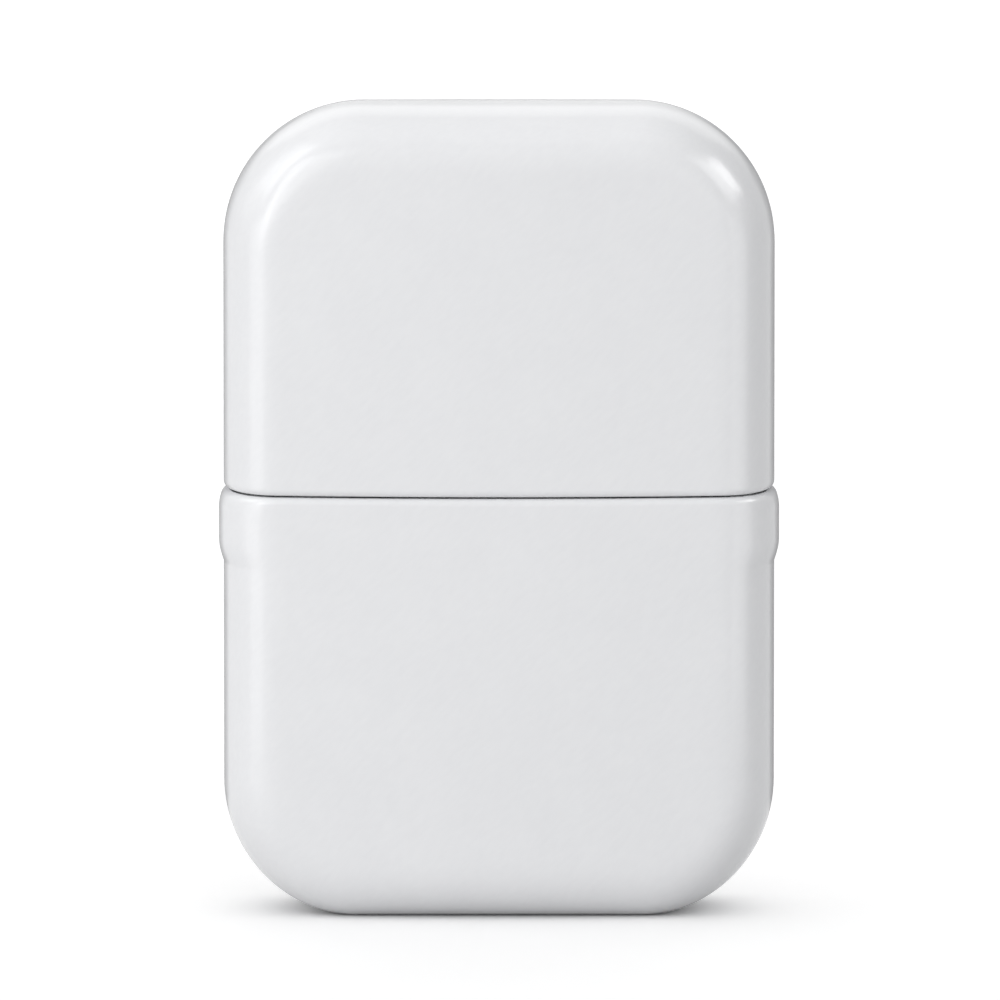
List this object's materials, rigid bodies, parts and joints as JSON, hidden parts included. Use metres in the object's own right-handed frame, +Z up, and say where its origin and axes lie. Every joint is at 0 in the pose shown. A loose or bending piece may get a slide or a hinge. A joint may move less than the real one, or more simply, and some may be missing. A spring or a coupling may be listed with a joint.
{
  "type": "collector tin",
  "caption": "Upright white tin with rounded ends and side swells; its lid pulls straight up off the base and snaps shut on an inner neck band.",
  "frame": {"origin": "middle of the underside, on the surface the tin stands on", "axes": "+Z up along the way the lid pulls off, +X to the right seen from the front, front faces -Y"},
  "size_m": [0.0754, 0.025, 0.1094],
  "materials": {
    "white_enamel": "satin gloss, cool white",
    "tinplate": "bare tinplate, fine rolling grain",
    "spring_steel": "polished spring strip",
    "rivet_steel": "plain steel"
  },
  "bodies": {
    "base": {"base_shell": "white_enamel"},
    "lid": {"lid_shell": "white_enamel", "neck_band": "tinplate", "snap_spring_left": "spring_steel", "snap_spring_right": "spring_steel", "rivet_left_front": "rivet_steel", "rivet_left_back": "rivet_steel", "rivet_right_front": "rivet_steel", "rivet_right_back": "rivet_steel"}
  },
  "joints": [
    {"name": "lid_lift", "type": "slide", "parent": "base", "child": "lid", "axis": [0, 0, 1], "range_m": [0, 0.08], "deforming": ["snap_spring_left", "snap_spring_right"]}
  ]
}
